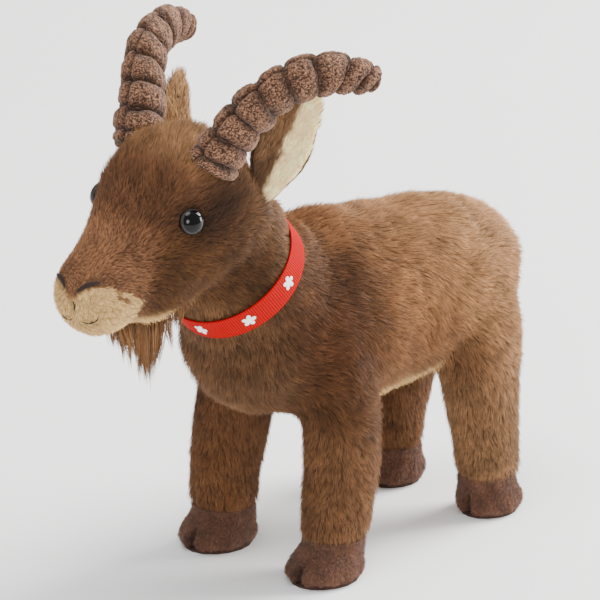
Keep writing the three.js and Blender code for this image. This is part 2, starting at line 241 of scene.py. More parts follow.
def with_points(mesh, points):
    """Moves a mesh's points to new places in mm."""
    mesh.vertices.foreach_set("co", metres(points).astype(np.float32).ravel())
    mesh.update()
    return Surface(mesh)


def curve(stations, u):
    """A smooth line through rows of numbers, at shares u of it, and its direction by row."""
    stations = np.asarray(stations, float)
    padded = np.vstack([2 * stations[0] - stations[1], stations, 2 * stations[-1] - stations[-2]])
    x = np.clip(u, 0, 1) * (len(stations) - 1)
    k = np.minimum(x.astype(int), len(stations) - 2)
    t = (x - k)[:, None]
    a, b, c, d = (padded[k + i] for i in range(4))
    square, cube = 2 * a - 5 * b + 4 * c - d, 3 * b - a - 3 * c + d
    at = 0.5 * (2 * b + (c - a) * t + square * t ** 2 + cube * t ** 3)
    way = 0.5 * ((c - a) + 2 * square * t + 3 * cube * t ** 2)
    return at, way


def grid_faces(rows, columns):
    """Quads between rows of points, each row a ring."""
    i, k = np.meshgrid(np.arange(rows - 1), np.arange(columns), indexing="ij")
    a, b = i * columns + k, i * columns + (k + 1) % columns
    return np.stack([a, b, b + columns, a + columns], axis=-1).reshape(-1, 4)


def fix_normals(mesh):
    """Closes a mesh's open ends and turns its faces outwards."""
    bm = bmesh.new()
    bm.from_mesh(mesh)
    bmesh.ops.remove_doubles(bm, verts=bm.verts, dist=1e-6)
    bmesh.ops.holes_fill(bm, edges=bm.edges, sides=0)
    bmesh.ops.recalc_face_normals(bm, faces=bm.faces)
    bm.to_mesh(mesh)
    bm.free()
    mesh.shade_smooth()
    mesh.update()


def softened(nodes, voxel, rounds=4):
    """CAD nodes together as one even mesh with its edges smoothed away."""
    mesh = modified(joined(nodes)[0], "REMESH", mode="VOXEL", voxel_size=voxel / 1000)
    mesh = modified(largest_shell(mesh), "SMOOTH", factor=0.5, iterations=rounds)
    mesh.shade_smooth()
    return mesh


# ---- materials ----
def set_inputs(node, values):
    for key, value in values.items():
        node.inputs[key].default_value = value


def node_material(name, roughness, grain=None, relief=None, sheen=0.0, tint=(1, 1, 1), specular=0.3,
                  fixed=None):
    """A material whose colour is the piece's own tint, or a fixed one. Fine noise breaks it up
    (grain) and roughens it (relief), each with a scale and a strength."""
    material = bpy.data.materials.new(name)
    material.use_nodes = True
    nodes, links = material.node_tree.nodes, material.node_tree.links
    shader = nodes["Principled BSDF"]
    set_inputs(shader, {"Roughness": roughness, "Specular IOR Level": specular, "Sheen Weight": sheen,
                        "Sheen Roughness": 0.45, "Sheen Tint": (*tint, 1)})
    place = nodes.new("ShaderNodeTexCoord").outputs["Object"]

    def noise_at(scale, detail):
        node = nodes.new("ShaderNodeTexNoise")
        set_inputs(node, {"Scale": scale, "Detail": detail})
        links.new(place, node.inputs["Vector"])
        return node.outputs["Fac"]

    source = nodes.new("ShaderNodeRGB" if fixed else "ShaderNodeAttribute")
    colour = source.outputs["Color"]
    if fixed:
        colour.default_value = (*fixed, 1)
    else:
        source.attribute_name = "tint"
    if grain:
        scale, strength = grain
        spread = nodes.new("ShaderNodeMapRange")
        set_inputs(spread, {"From Min": 0.3, "From Max": 0.7, "To Min": 1 - strength,
                            "To Max": 1 + strength})
        links.new(noise_at(scale, 3), spread.inputs["Value"])
        product = nodes.new("ShaderNodeVectorMath")
        product.operation = "SCALE"
        links.new(colour, product.inputs[0])
        links.new(spread.outputs["Result"], product.inputs["Scale"])
        colour = product.outputs["Vector"]
    links.new(colour, shader.inputs["Base Color"])
    if relief:
        scale, strength = relief
        bumps = nodes.new("ShaderNodeBump")
        set_inputs(bumps, {"Strength": strength, "Distance": 0.0006})
        links.new(noise_at(scale, 4), bumps.inputs["Height"])
        links.new(bumps.outputs["Normal"], shader.inputs["Normal"])
    return material


FUR = node_material("fur", 0.62, grain=(260, 0.12), sheen=0.07, tint=(0.9, 0.62, 0.42), specular=0.16)
SKIN = node_material("plush_backing", 0.95, grain=(700, 0.35), relief=(1500, 0.8))
CREAM = node_material("cream_pile", 0.85, grain=(500, 0.12), sheen=0.15)
HORN = node_material("terry", 0.95, grain=(1200, 0.32), relief=(2600, 0.35), sheen=0.25, tint=(0.9, 0.7, 0.6))
HOOF = node_material("hoof_pile", 0.9, grain=(500, 0.2), relief=(2600, 0.4), sheen=0.3,
                     tint=(0.8, 0.62, 0.55))
SOLE = node_material("sole_felt", 0.95, grain=(1200, 0.3), relief=(2000, 0.6), fixed=(0.045, 0.025, 0.018))
RIBBON = node_material("ribbon", 0.6, grain=(2200, 0.08), relief=(4000, 0.1), specular=0.06)
PRINT = node_material("print", 0.6, grain=(1800, 0.03), relief=(3000, 0.1), fixed=(0.93, 0.92, 0.90))
THREAD = node_material("thread", 0.7, grain=(2500, 0.3), relief=(3000, 0.6), fixed=(0.016, 0.009, 0.007))
EYE = node_material("eye", 0.04, specular=0.22)
WASHER = node_material("washer", 0.4, grain=(300, 0.04), relief=(200, 0.05), fixed=(0.7, 0.7, 0.68))
FLOOR = node_material("floor", 0.85, grain=(3, 0.01), fixed=(0.95, 0.95, 0.95), specular=0.1)


# ---- colours of the coat, with painted light and shade ----
# Each row is a place (x, y, z), how far its colour reaches, and the colour there in thousandths.
# Besides the coat's own tones, the rows hold painted light and shade: lighter on the back and rump,
# which face the light from behind and above, and darker on the shoulders and behind the front legs,
# where shade falls.
COAT_AND_PAINTED_LIGHT = [
    (0, 0, 125, 40, 190, 80, 29), (45, -45, 130, 26, 60, 20, 5), (36, -55, 158, 22, 68, 26, 9),
    (45, 0, 140, 22, 300, 136, 52), (45, 6, 106, 20, 160, 68, 26), (-45, -40, 130, 30, 140, 58, 21),
    (0, -40, 172, 24, 180, 76, 28), (0, 0, 172, 24, 280, 135, 55), (0, 45, 172, 34, 340, 178, 78),
    (0, 98, 130, 34, 420, 225, 105), (40, 58, 125, 24, 330, 160, 64), (0, -105, 120, 22, 125, 58, 24),
    (0, -100, 92, 16, 120, 58, 26), (0, -112, 145, 16, 150, 70, 28), (0, -75, 178, 22, 170, 76, 29),
    (0, 10, 72, 26, 340, 200, 100), (36, -58, 50, 26, 155, 70, 29), (36, -50, 90, 18, 95, 38, 13),
    (-36, -58, 50, 26, 135, 56, 21), (33, 60, 50, 22, 215, 108, 48), (33, 84, 90, 18, 420, 215, 95),
    (28, 36, 94, 17, 110, 47, 18), (-33, 62, 50, 26, 140, 60, 24), (0, -190, 197, 15, 240, 108, 50),
    (0, -165, 218, 16, 105, 43, 18), (0, -132, 240, 15, 220, 110, 47), (30, -120, 180, 15, 72, 29, 9),
    (30, -150, 185, 14, 74, 30, 9), (34, -132, 205, 12, 70, 29, 11), (-30, -125, 185, 20, 120, 52, 20),
    (30, -106, 200, 12, 120, 56, 22), (0, -108, 238, 16, 220, 108, 45),
]
COAT_LEVEL = 0.95
# Places of the dark band that runs through each eye: the coat's own darker streaks before and
# behind the eye, and painted shade in the fur round its socket.
EYE_STREAKS_AND_SOCKET_SHADE = [(30, -160, 212), (32, -147, 206), (34, -139, 212), (34, -131, 214)]
EYE_BAND_REACH, EYE_BAND_DEPTH = 6.5, 0.56
BACKING_PAINTED_SHADE = 0.42     # how light the cloth under the pile is against the pile's tips; the darker cloth is painted shade deep in the pile


def mirrored(points):
    """Points brought over to the left side."""
    return points * [0, 1, 1] + np.abs(points) * [1, 0, 0]


def coat(points):
    """The colour of the pile's tips at each point, painted light and shade included."""
    total, weights = np.zeros((len(points), 3)), np.zeros((len(points), 1))
    for x, y, z, reach, *colour in COAT_AND_PAINTED_LIGHT:
        weight = bump(points, (x, y, z), reach)[:, None] + 1e-6
        total += weight * np.array(colour) / 1000
        weights += weight
    colours = COAT_LEVEL * total / weights
    for place in EYE_STREAKS_AND_SOCKET_SHADE:
        colours *= 1 - EYE_BAND_DEPTH * bump(mirrored(points), place, EYE_BAND_REACH)[:, None]
    blotches = 0.12 * ripple(points, 34, 5) + 0.10 * ripple(points, 11, 6) + 0.11 * ripple(points, 4.5, 8)
    return colours * (1 + blotches)[:, None]


CREAM_COLOUR = np.array([0.60, 0.385, 0.155])


def cream_share(points, normals):
    """How far the coat is cream at each point: the muzzle, the jaw's lower edge and the belly."""
    side, y, z = np.abs(points[:, 0] - 1.5), points[:, 1], points[:, 2]
    wave = 0.5 * ripple(points, 7, 21) + 0.6 * ripple(points, 2.5, 22)
    # The muzzle's upper edge climbs from the mouth's side to the nostril and dips in the middle.
    top = np.interp(side + wave, [0, 2, 5, 10, 14, 17, 20], [177.5, 178, 181, 184, 183.5, 181, 172])
    muzzle = step(top - z, -0.5, 0.5) * step(-178 - y + wave, -0.8, 1.2)
    under = step(-normals[:, 2], 0.25, 0.55) * step(163 - z + wave, -3, 3) * step(-y, 130, 136)
    belly = step(-normals[:, 2], 0.58, 0.85) * step(y, -36, -28) * (1 - step(y, 44, 54)) * step(z, 66, 70)
    return np.clip(np.maximum(np.maximum(muzzle, under), belly), 0, 1)[:, None]


def coat_with_cream(points, normals, level=1, cream_level=1):
    share = cream_share(points, normals)
    return coat(points) * level * (1 - share) + CREAM_COLOUR * cream_level * share


# ---- the stuffed skin ----
PELTS = ["torso_pelt", "belly_gusset", "neck_pelt", "head_pelt", "muzzle"]
PELTS += [f"{leg}_leg_pelt" for leg in LEGS]
FILLINGS = ["torso_filling", "head_filling"] + [f"{leg}_leg_filling" for leg in LEGS]
BODY_VOXEL = 4.5
SKIN_THICKNESS = 1.2
SKIN_SHRINK = 1.2                        # the start of the swelling lies this far inside
SWELL_LEAST, SWELL_CAP, SWELL_QUICK = 1.3, 2.6, 1.4
PRESSURE, CLOTH_FRAMES = 4, 20
ANKLE = 21.0                             # the height of the seam between a leg and its hoof


def stuffed(mesh):
    """Blows the cloth up a little with Blender's Cloth, as stuffing does, and caps the movement."""
    surface = Surface(mesh)
    start = surface.points - surface.normals * SKIN_SHRINK
    surface = with_points(mesh, start)
    obj = add_object("stuffing", mesh)
    cloth = obj.modifiers.new("cloth", "CLOTH")
    cloth.settings.use_pressure = True
    cloth.settings.uniform_pressure_force = PRESSURE
    cloth.settings.effector_weights.gravity = 0
    cloth.settings.quality = 6
    cloth.point_cache.frame_start, cloth.point_cache.frame_end = 1, CLOTH_FRAMES
    for number in range(1, CLOTH_FRAMES + 1):
        scene.frame_set(number)
    moved = Surface(evaluated(obj)).points
    bpy.data.objects.remove(obj)
    scene.frame_set(1)
    move = moved - start
    out = dot(move, surface.normals)
    aside = move - out * surface.normals
    aside *= np.minimum(1, SWELL_CAP / np.maximum(size_of(aside), 1e-6))[:, None]
    swollen = start + aside + np.clip(out, SWELL_LEAST, SWELL_CAP) * surface.normals
    return with_points(mesh, swollen).mesh


# The ribbon's ring: its centre, the way the neck runs through it, and its size.
COLLAR_CENTRE = np.array([0, -92, 162.5])
NECK_AXIS = unit([0, -0.663, 0.749])
RIBBON_RADIUS, RIBBON_HALF = 35.5, 7.0


def under_collar(points, room=0.25):
    """Presses whatever would stand through the ribbon down below it."""
    offset = points - COLLAR_CENTRE
    along = offset @ NECK_AXIS
    across = offset - along[..., None] * NECK_AXIS
    radius = size_of(across)
    limit = RIBBON_RADIUS - room + 1.2 * np.maximum(np.abs(along) - RIBBON_HALF - 0.5, 0)
    inside = (np.abs(along) < RIBBON_HALF + 3) & (radius > limit) & (radius < 60)
    scale = np.where(inside, limit / np.maximum(radius, 1e-6), 1.0)
    return COLLAR_CENTRE + along[..., None] * NECK_AXIS + across * scale[..., None]


# Soft pushes along the normal, alike on both sides, as stuffing and stitches make them: a place,
# its reach and the push.
PUSHES = [
    (30, -155, 225, 10, 5), (17, -158, 230, 8, 1.6), (32, -126, 186, 18, 2), (31.5, -152, 211, 8, -1.9),
    (28, -176, 190, 12, -1.2), (12, -197, 176, 8, 1), (13, -196, 186, 4, -0.8), (0, -180, 158, 12, 2),
    (10, -158, 160, 17, 4.5), (8, -130, 238, 14, 2.5), (21, -140, 236, 13, 7), (22, -120, 232, 9, 2.5),
    (40, -45, 128, 26, 1.2), (38, 50, 122, 26, 1.2), (40, 8, 118, 22, -1.8), (13, -83, 194, 13, 4.5),
    (28, -97, 198, 13, 5), (4, -45, 175, 23, 5.4), (0, -24, 172, 20, 2.5), (6, -192, 160, 12, 4),
    (36, -64, 98, 12, 0.9), (34, 78, 108, 14, 0.8), (0, -112, 122, 18, 1.5), (18, -106, 125, 18, 2),
    (0, -120, 242, 15, 3.4),
]
# The same, on one side only.
LONE_PUSHES = [(-20, -186, 194, 15, -1.6), (-27, -166, 204, 13, -3), (-34, -160, 223, 7, 3.5),
               (-9, -199, 192, 10, 2.2), (3, -208, 174, 2.2, -1.6), (3, -208, 170, 2.0, -1.2)]


def sculpted(surface):
    """The skin's points after the pushes and some small unevenness, pressed in under the ribbon."""
    push = np.zeros(len(surface.points))
    for points, pushes in [(mirrored(surface.points), PUSHES), (surface.points, LONE_PUSHES)]:
        for x, y, z, reach, height in pushes:
            push += height * bump(points, (x, y, z), reach)
    push += 0.45 * ripple(surface.points, 22, 3) + 0.25 * ripple(surface.points, 9, 4)
    push *= step(surface.points[:, 2], ANKLE + 1, ANKLE + 8)
    return under_collar(surface.points + surface.normals * push[:, None], 0.7)


body_mesh = stuffed(softened(PELTS + FILLINGS, BODY_VOXEL, 3))
body_mesh = modified(body_mesh, "SUBSURF", levels=1, render_levels=1)
body = with_points(body_mesh, sculpted(Surface(body_mesh)))

owner_mesh, owners = joined(PELTS)
owner_tree = BVHTree.FromPolygons(
    [v.co for v in owner_mesh.vertices], [tuple(p.vertices) for p in owner_mesh.polygons]
)


def owner_of(points):
    """The pelt that each point belongs to, by number in PELTS."""
    return np.array([owners[owner_tree.find_nearest(Vector(p))[2]] for p in metres(points)])


def shell(name, surface, faces, thickness, tint):
    """A closed piece of cloth: some of a surface's faces, a second layer inside, and a rim."""
    used, corner = np.unique(faces, return_inverse=True)
    outer = corner.reshape(faces.shape)
    count = len(used)
    points, normals = surface.points[used], surface.normals[used]
    edges = np.stack([outer, np.roll(outer, -1, axis=1)], axis=2).reshape(-1, 2)
    keys = edges[:, 0].astype(np.int64) * count + edges[:, 1]
    reverse = edges[:, 1].astype(np.int64) * count + edges[:, 0]
    a, b = edges[~np.isin(keys, reverse)].T
    rim = np.stack([b, a, a + count, b + count], axis=1)
    inner = outer[:, ::-1] + count
    return new_mesh(name, np.vstack([points, points - normals * thickness]), [outer, inner, rim],
                    np.vstack([tint[used], tint[used]]))


quads = np.array([list(p.vertices) for p in body_mesh.polygons])
quad_owner = owner_of(body.points[quads].mean(axis=1))
# The cloth under the pile, brown and cream alike, is painted darker than the pile's tips: painted shade deep
# in the pile between the hairs.
skin_tint = coat_with_cream(body.points, body.normals, BACKING_PAINTED_SHADE, 0.75)
for number, pelt in enumerate(PELTS):
    faces = quads[quad_owner == number]
    mesh = shell(pelt + "_cloth", body, faces, SKIN_THICKNESS, skin_tint)
    stuffing = [filling for filling in FILLINGS if filling.replace("filling", "pelt") == pelt]
    piece(pelt + "_cloth", mesh, "toy", SKIN, [pelt] + stuffing)

# Where the threads of the nostrils, of the line below the nose and of the mouth run.
NOSTRILS = {
    "left": [(4.8, -207, 181.3), (7.5, -205.3, 184), (10, -203.5, 185.6), (13, -199.5, 186.2)],
    "right": [(-2.2, -207, 182), (-5, -205.6, 184.3), (-8, -204.2, 185.2), (-11.6, -202, 185)],
}
PHILTRUM = [(3.6, -208, 177.4), (3.8, -208, 174.5), (3.6, -207.5, 171.5)]
MOUTH = [
    [(6.2, -205.2, 167.2), (9.5, -203.6, 166.8), (12.4, -202.2, 168.6), (13.8, -201.9, 171)],
    [(0.8, -205.2, 167.2), (-3.0, -203.6, 166.8), (-6.2, -202.8, 168.4)],
]


# ---- pile ----
def flow(points, normals):
    """The way the coat is brushed at each point: back and down the body, down the legs and neck,
    and up and back from the nose."""
    way = np.tile([0.0, 1.0, -0.75], (len(points), 1))
    y, z = points[:, 1], points[:, 2]
    leg = step(92 - z, 0, 22)[:, None]
    way = way * (1 - leg) + np.array([0, 0.12, -1.0]) * leg
    chest = (step(-y, 84, 100) * step(165 - z, 0, 20))[:, None]
    way = way * (1 - chest) + np.array([0, 0.25, -1.0]) * chest
    head = step(-y + (z - 175) * 0.9, 112, 128)[:, None]
    high = step(z, 190, 216)[:, None]
    head_way = np.array([0, 1.0, -0.45]) * (1 - high) + np.array([0, 0.9, 0.55]) * high
    way = way * (1 - head) + head_way * head
    way = way + (0.38 - 0.24 * leg) * ripple3(points, 26, 40) + 0.16 * ripple3(points, 9, 50)
    return laid(way, normals)


HAIR_SPREAD = 0.18       # how far hairs differ in direction
ROOT_DEPTH = 0.3         # how far their roots reach into the cloth


def ribbons(spines, halves, tints):
    """Hairs as tapering ribbons. Each has one point in every row of spines, and the last row is the
    tips; halves are half their widths. Returns points, quads, triangles and colours."""
    rows = len(spines) - 1
    points, colours = [], []
    for spine, half, tint in zip(spines[:-1], halves, tints):
        points += [spine - half, spine + half]
        colours += [tint, tint]
    points = np.stack(points + [spines[-1]], axis=1).reshape(-1, 3)
    colours = np.stack(colours + [tints[-1]], axis=1).reshape(-1, 3)
    base = (np.arange(len(spines[0])) * (2 * rows + 1))[:, None]
    quad = np.vstack([base + [2 * k, 2 * k + 1, 2 * k + 3, 2 * k + 2] for k in range(rows - 1)])
    tip = base + [2 * rows - 2, 2 * rows - 1, 2 * rows]
    return points, quad, tip, colours


def hair_piece(name, made, body_name, material):
    """Adds what ribbons or strands returned as a piece."""
    points, quad, tip, tints = made
    piece(name, new_mesh(name, points, [quad, tip], tints), body_name, material)


def strands(places, normals, ways, lengths, width, lean, rng, colours, density, clump=1.9, gather=0.34,
            dark=0.38, light=1.34, rows=3):
    """Hairs that leave a surface at lean degrees and lie over along ways, as ribbons. They gather
    into tufts about clump mm apart, and go from dark at the root, painted shade deep in the pile,
    to light at the tip."""
    count = len(places)
    own = laid(ways + HAIR_SPREAD * rng.normal(size=(count, 3)), normals)
    lengths = lengths * rng.uniform(0.72, 1.25, count)
    shade = rng.uniform(0.78, 1.22, count)[:, None]
    picked = rng.permutation(count)[: max(int(count / (clump * clump * density)), 1)]
    tree = KDTree(len(picked))
    for k, p in enumerate(places[picked]):
        tree.insert(p, k)
    tree.balance()
    nearest = np.array([tree.find(p)[1] for p in places])
    centre = picked[nearest]
    own = laid(own * 0.45 + own[centre] * 0.55, normals)
    pull = places[centre] - places
    shade = shade * (0.88 + 0.24 * rng.uniform(size=len(picked))[nearest])[:, None]
    lengths = lengths * (0.86 + 0.28 * rng.uniform(size=len(picked))[nearest])
    lean = np.radians(lean + 9 * rng.normal(size=count))[:, None]
    across = unit(np.cross(own, normals))
    turn = rng.normal(0, 0.5, (count, 1))
    spines, halves, tints = [], [], []
    for t in np.linspace(0, 1, rows + 1):
        rise = np.sin(lean) * (t - 0.32 * t * t) * 1.25
        run = np.cos(lean) * (0.75 * t + 0.25 * t * t)
        spine = places + lengths[:, None] * (rise * normals + run * own) + pull * gather * t ** 1.3
        spines.append(spine - (0 if t else ROOT_DEPTH) * normals)
        halves.append(unit(across * np.cos(turn) + normals * np.sin(turn)) * width / 2 * (1 - 0.55 * t))
        # Darker towards the root: painted shade deep in the pile.
        tints.append(colours * shade * (dark + (light - dark) * min(t * 1.25, 1) ** 0.9))
    return ribbons(spines, halves, tints)


def pile(name, keep, density, length, width, lean, seed, slot="brown_plush", material=FUR, **more):
    """Fur on the part of the skin that keep picks, with density hairs to the square mm. Length is
    a number or a function of places and normals."""
    rng = np.random.default_rng(seed)
    places, normals = body.scatter(density, rng, keep)
    lengths = length(places, normals) if callable(length) else length
    points, *faces_and_tints = strands(places, normals, flow(places, normals), lengths, width, lean, rng,
                                       coat_with_cream(places, normals), density, **more)
    hair_piece(name, (under_collar(points), *faces_and_tints), "toy", material)


EYE_RADIUS, EYE_HEIGHT = 6.5, 4.6
DOME_DEPTH = 4.8                         # from the crown of the CAD eye's dome to its flat back
DOME_SETTLE = np.array([0, -1.2, -0.6])  # how far the eye is pulled along by its stem


def dome(side):
    """The centre of an eye's dome on the cheek and the way it looks out."""
    points = Surface(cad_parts[f"{side}_eye"].data).points
    # The stem makes the eye longest along the way it looks.
    out = np.linalg.svd(points - points.mean(axis=0), full_matrices=False)[2][0]
    if out[0] * SIDES[side] < 0:
        out = -out
    along = points @ out
    centre = points[along > along.max() - DOME_DEPTH - 0.4].mean(axis=0)
    return centre + out * (along.max() - DOME_DEPTH - centre @ out) + DOME_SETTLE, out


DOMES = {side: dome(side) for side in SIDES}


def clear_of_eyes(places, normals):
    ok = np.ones(len(places))
    for centre, out in DOMES.values():
        offset = places - centre
        flat = offset - dot(offset, out) * out
        ok[(size_of(flat) < EYE_RADIUS + 0.1) & (np.abs(offset @ out) < 12)] = 0
    return ok


def clear_of(spots):
    """Keeps clear of spots, each a place and a reach."""
    return lambda places, normals: 1.0 - np.any(
        [size_of(places - place) < reach for place, reach in spots], axis=0)


clear_of_horns = clear_of([((sign * 26, -130, 237), 7.5) for sign in SIDES.values()])
clear_of_stitches = clear_of([
    (place, gap) for paths, gap in ((NOSTRILS.values(), 2.2), ([PHILTRUM] + MOUTH, 1.5))
    for path in paths for place in curve(path, np.linspace(0, 1, 24))[0]])


def is_owner(*names):
    numbers = [PELTS.index(name) for name in names]
    return lambda places, normals: np.isin(owner_of(places), numbers).astype(float)


def every(*tests):
    return lambda places, normals: np.prod([test(places, normals) for test in tests], axis=0)


def between(low, high):
    """Keeps what lies from low to high along the body."""
    return lambda places, normals: ((places[:, 1] >= low) & (places[:, 1] < high)).astype(float)


def body_length(places, normals):
    return 5.6 + 1.0 * step(places[:, 2], 60, 100) + 0.6 * ripple(places, 18, 9)


def leg_length(places, normals):
    z = places[:, 2]
    return 4.8 - 0.6 * step(z, 26, 36) + 1.2 * step(z, 36, 60)


def head_length(places, normals):
    y, z = places[:, 1], places[:, 2]
    length = 2.2 + 3.0 * step(y, -196, -150) + 1.6 * step(z, 222, 236)
    cream = cream_share(places, normals)[:, 0]
    for centre, out in DOMES.values():
        length = length * (1 - 0.55 * bump(places, centre, 11))
    length = np.where((cream > 0.5) & (y > -170), 5.5, length)
    return np.where((cream > 0.5) & (y < -176), 2.4, length) * (1 + 0.1 * ripple(places, 12, 10))


# The coat is laid in parts, because a single one would be too heavy a mesh.
for name, low, high, seed in [("chest", -200, -70, 11), ("shoulder", -70, -30, 12), ("flank", -30, 10, 13),
                              ("loin", 10, 50, 24), ("rump", 50, 200, 25)]:
    keep = every(is_owner("torso_pelt", "belly_gusset"), between(low, high))
    pile(f"fur_{name}", keep, 2.9, body_length, 0.27, 20, seed)
pile("fur_neck", is_owner("neck_pelt"), 2.9, 5.6, 0.27, 21, 14)
for name, low, high, seed in [("face", -220, -158, 15), ("brow", -158, -128, 16), ("crown", -128, -60, 26)]:
    keep = every(is_owner("head_pelt"), between(low, high), clear_of_eyes, clear_of_horns, clear_of_stitches)
    pile(f"fur_{name}", keep, 3.6, head_length, 0.24, 22, seed, clump=1.7)
pile("fur_muzzle", every(is_owner("muzzle"), clear_of_stitches), 4.0, 2.6, 0.26, 36, 17, "cream_plush", CREAM,
     clump=2.2, gather=0.5, dark=0.32, light=1.3)
for leg, seed in zip(LEGS, range(18, 22)):
    pile(f"fur_{leg}_leg", is_owner(f"{leg}_leg_pelt"), 2.8, leg_length, 0.27, 20, seed, clump=2.3,
         gather=0.4, dark=0.34, light=1.32)


# ---- nose and mouth ----
SKIN_TREE = BVHTree.FromPolygons([Vector(p) for p in body.points], [tuple(q) for q in quads])


def on_skin(places, lift):
    """The nearest points of the skin, lifted a little, with its normals there."""
    found = [SKIN_TREE.find_nearest(Vector(p)) for p in places]
    normals = np.array([hit[1] for hit in found])
    return np.array([hit[0] for hit in found]) + normals * lift, normals


def embroidery(name, paths, radius, lift, twist, replaces):
    """Satin stitches laid on the skin along paths, thickest in the middle, with a rib for each
    turn of the thread."""
    rows, sides = 60, 14
    share = np.linspace(0, 1, rows)
    turn = circle(sides)
    size = radius * (0.25 + 0.75 * np.sin(pi * share) ** 0.7)
    size *= 1 + 0.10 * np.cos(2 * pi * share * twist)
    size[[0, -1]] = 0.02
    points, faces = [], []
    for number, path in enumerate(paths):
        spine, normals = on_skin(curve(path, share)[0], lift)
        for smoothing in range(3):
            spine[1:-1] = (spine[:-2] + 2 * spine[1:-1] + spine[2:]) / 4
        along = unit(np.gradient(spine, axis=0))
        across = unit(np.cross(along, normals))
        above = np.cross(across, along)
        ring = (spine[:, None] + across[:, None] * (np.cos(turn) * size[:, None])[..., None]
                + above[:, None] * (np.sin(turn) * 0.6 * size[:, None])[..., None])
        points.append(ring.reshape(-1, 3))
        faces.append(grid_faces(rows, sides) + number * rows * sides)
    mesh = new_mesh(name, np.vstack(points), [np.vstack(faces)])
    fix_normals(mesh)
    piece(name, mesh, "toy", THREAD, replaces)


for side, path in NOSTRILS.items():
    embroidery(f"{side}_nostril_thread", [path], 1.1, 0.9, 14, [f"{side}_nostril_stitch"])
embroidery("mouth_thread", [PHILTRUM] + MOUTH, 0.5, 1.1, 10, ["mouth_stitch"])


# ---- horns ----
# Where the left horn's middle line runs, with its half width across and half depth.
HORN_SPINE = [
    [24.4, -133.5, 231, 11, 13.9], [27.5, -129.5, 239, 10.9, 13.8], [33, -121.5, 252.5, 10.4, 13.2],
    [40.5, -112.5, 264, 9.8, 12.4], [48, -99.5, 272, 9.2, 11.6], [55.5, -82.5, 274, 8.4, 10.4],
    [61, -66.5, 270.5, 7.4, 9], [63.5, -55.5, 266.5, 5, 6],
]
ROLLS = 9
# The painted shade in the pits between the loops and in the grooves between the rolls, and the terry's own
# colour on the loops' tops.
HORN_PIT_SHADE, HORN_LOOP_TOP = np.array([(0.020, 0.008, 0.004), (0.28, 0.138, 0.078)])
LOOP_SIZE = 0.85                    # of the terry's loops
FRONT_ROW = pi / 2 + 0.43      # where the row of knobs runs round the horn
FRONT_ROW_HALF = 0.5


def horn(side):
    """A tube of terry cloth drawn in to rolls, with a row of knobs along its front."""
    sign = SIDES[side]
    rows, columns = 400, 232
    u = np.linspace(0, 1, rows)
    at, way = curve(HORN_SPINE, u)
    at[:, 0] *= sign
    way[:, 0] *= sign
    along = unit(way[:, :3])
    wide = unit(X - dot(along, X) * along)
    deep = np.cross(wide, along)
    U, V = np.meshgrid(u, circle(columns), indexing="ij")
    front = np.abs((V - FRONT_ROW + pi) % (2 * pi) - pi)
    knob = step(FRONT_ROW_HALF - front, -0.05, 0.1)
    skew = 0.62 * step(U, 0.6, 1.0) * np.sin(V - 0.4)
    phase = U * ROLLS + 0.15 - skew - 0.16 * knob
    phase += 0.05 * np.sin(2 * V + 5 * np.floor(phase)) + 0.035 * np.sin(5 * V + 3 * np.floor(phase))
    number = np.floor(phase)
    part = np.abs(2 * (phase % 1) - 1)
    lobe = np.sqrt(np.clip(1 - part ** 2.8, 0, 1))
    seam = np.exp(-((front - FRONT_ROW_HALF) / 0.10) ** 2)
    uneven = 0.03 * np.sin(number * 2.4 + sign) + 0.02 * np.sin(3 * V + number * 1.7)
    size = 0.70 + (0.34 + uneven) * lobe - 0.15 * seam * (0.4 + 0.6 * lobe) + 0.03 * knob * lobe
    end = np.sqrt(np.clip(1 - (np.clip((U - 0.955) / 0.045, 0, 1)) ** 2.4 * 0.999, 0, 1))
    a, b = at[:, 3][:, None] * size * end, at[:, 4][:, None] * size * end
    centre = np.broadcast_to(at[:, :3][:, None, :], (rows, columns, 3))
    flat = (centre + wide[:, None, :] * (a * np.cos(V))[..., None]
            + deep[:, None, :] * (b * np.sin(V))[..., None]).reshape(-1, 3)
    out = unit(flat - centre.reshape(-1, 3))
    loops, shades = np.empty(len(flat)), np.empty(len(flat))
    warp = flat + 0.45 * ripple3(flat, 2.0, 70)
    for k, p in enumerate(warp / LOOP_SIZE):
        distance, cells = noise.voronoi(Vector(p))
        loops[k] = 1 - min(distance[0] / 0.62, 1.0) ** 2
        shades[k] = (cells[0][0] * 12.9898 + cells[0][1] * 78.233 + cells[0][2] * 37.719) % 1
    relief = 0.5 * loops - 0.3 + 0.2 * ripple(flat, 2.6, 71)
    flat = flat + out * (relief * np.repeat(end[:, 0], columns))[:, None]
    # Painted shade: darker in the pits between the loops, in the grooves between the rolls and along the
    # front seam.
    height = np.clip(0.05 + 1.1 * loops, 0, 1) * (0.15 + 0.85 * lobe.ravel() ** 3) * (1 - 0.6 * seam.ravel())
    tint = HORN_PIT_SHADE + (HORN_LOOP_TOP - HORN_PIT_SHADE) * height[:, None]
    tint = tint * (0.72 + 0.56 * shades[:, None]) * (1 + 0.1 * ripple(flat, 9, 72)[:, None])
    ring = np.arange(columns)
    top = (rows - 1) * columns
    first = np.stack([ring, np.roll(ring, -1), np.full(columns, len(flat))], axis=1)
    last = np.stack([np.roll(ring, -1) + top, ring + top, np.full(columns, len(flat) + 1)], axis=1)
    ends = np.stack([flat[:columns].mean(axis=0), flat[top:].mean(axis=0) + along[-1] * 0.4])
    mesh = new_mesh(f"{side}_horn_terry", np.vstack([flat, ends]),
                    [grid_faces(rows, columns)[:, ::-1], first, last],
                    np.vstack([tint, tint[:1], tint[-1:]]))
    piece(f"{side}_horn_terry", mesh, "toy", HORN,
                    [f"{side}_horn", f"{side}_horn_filling"])


for side in SIDES:
    horn(side)


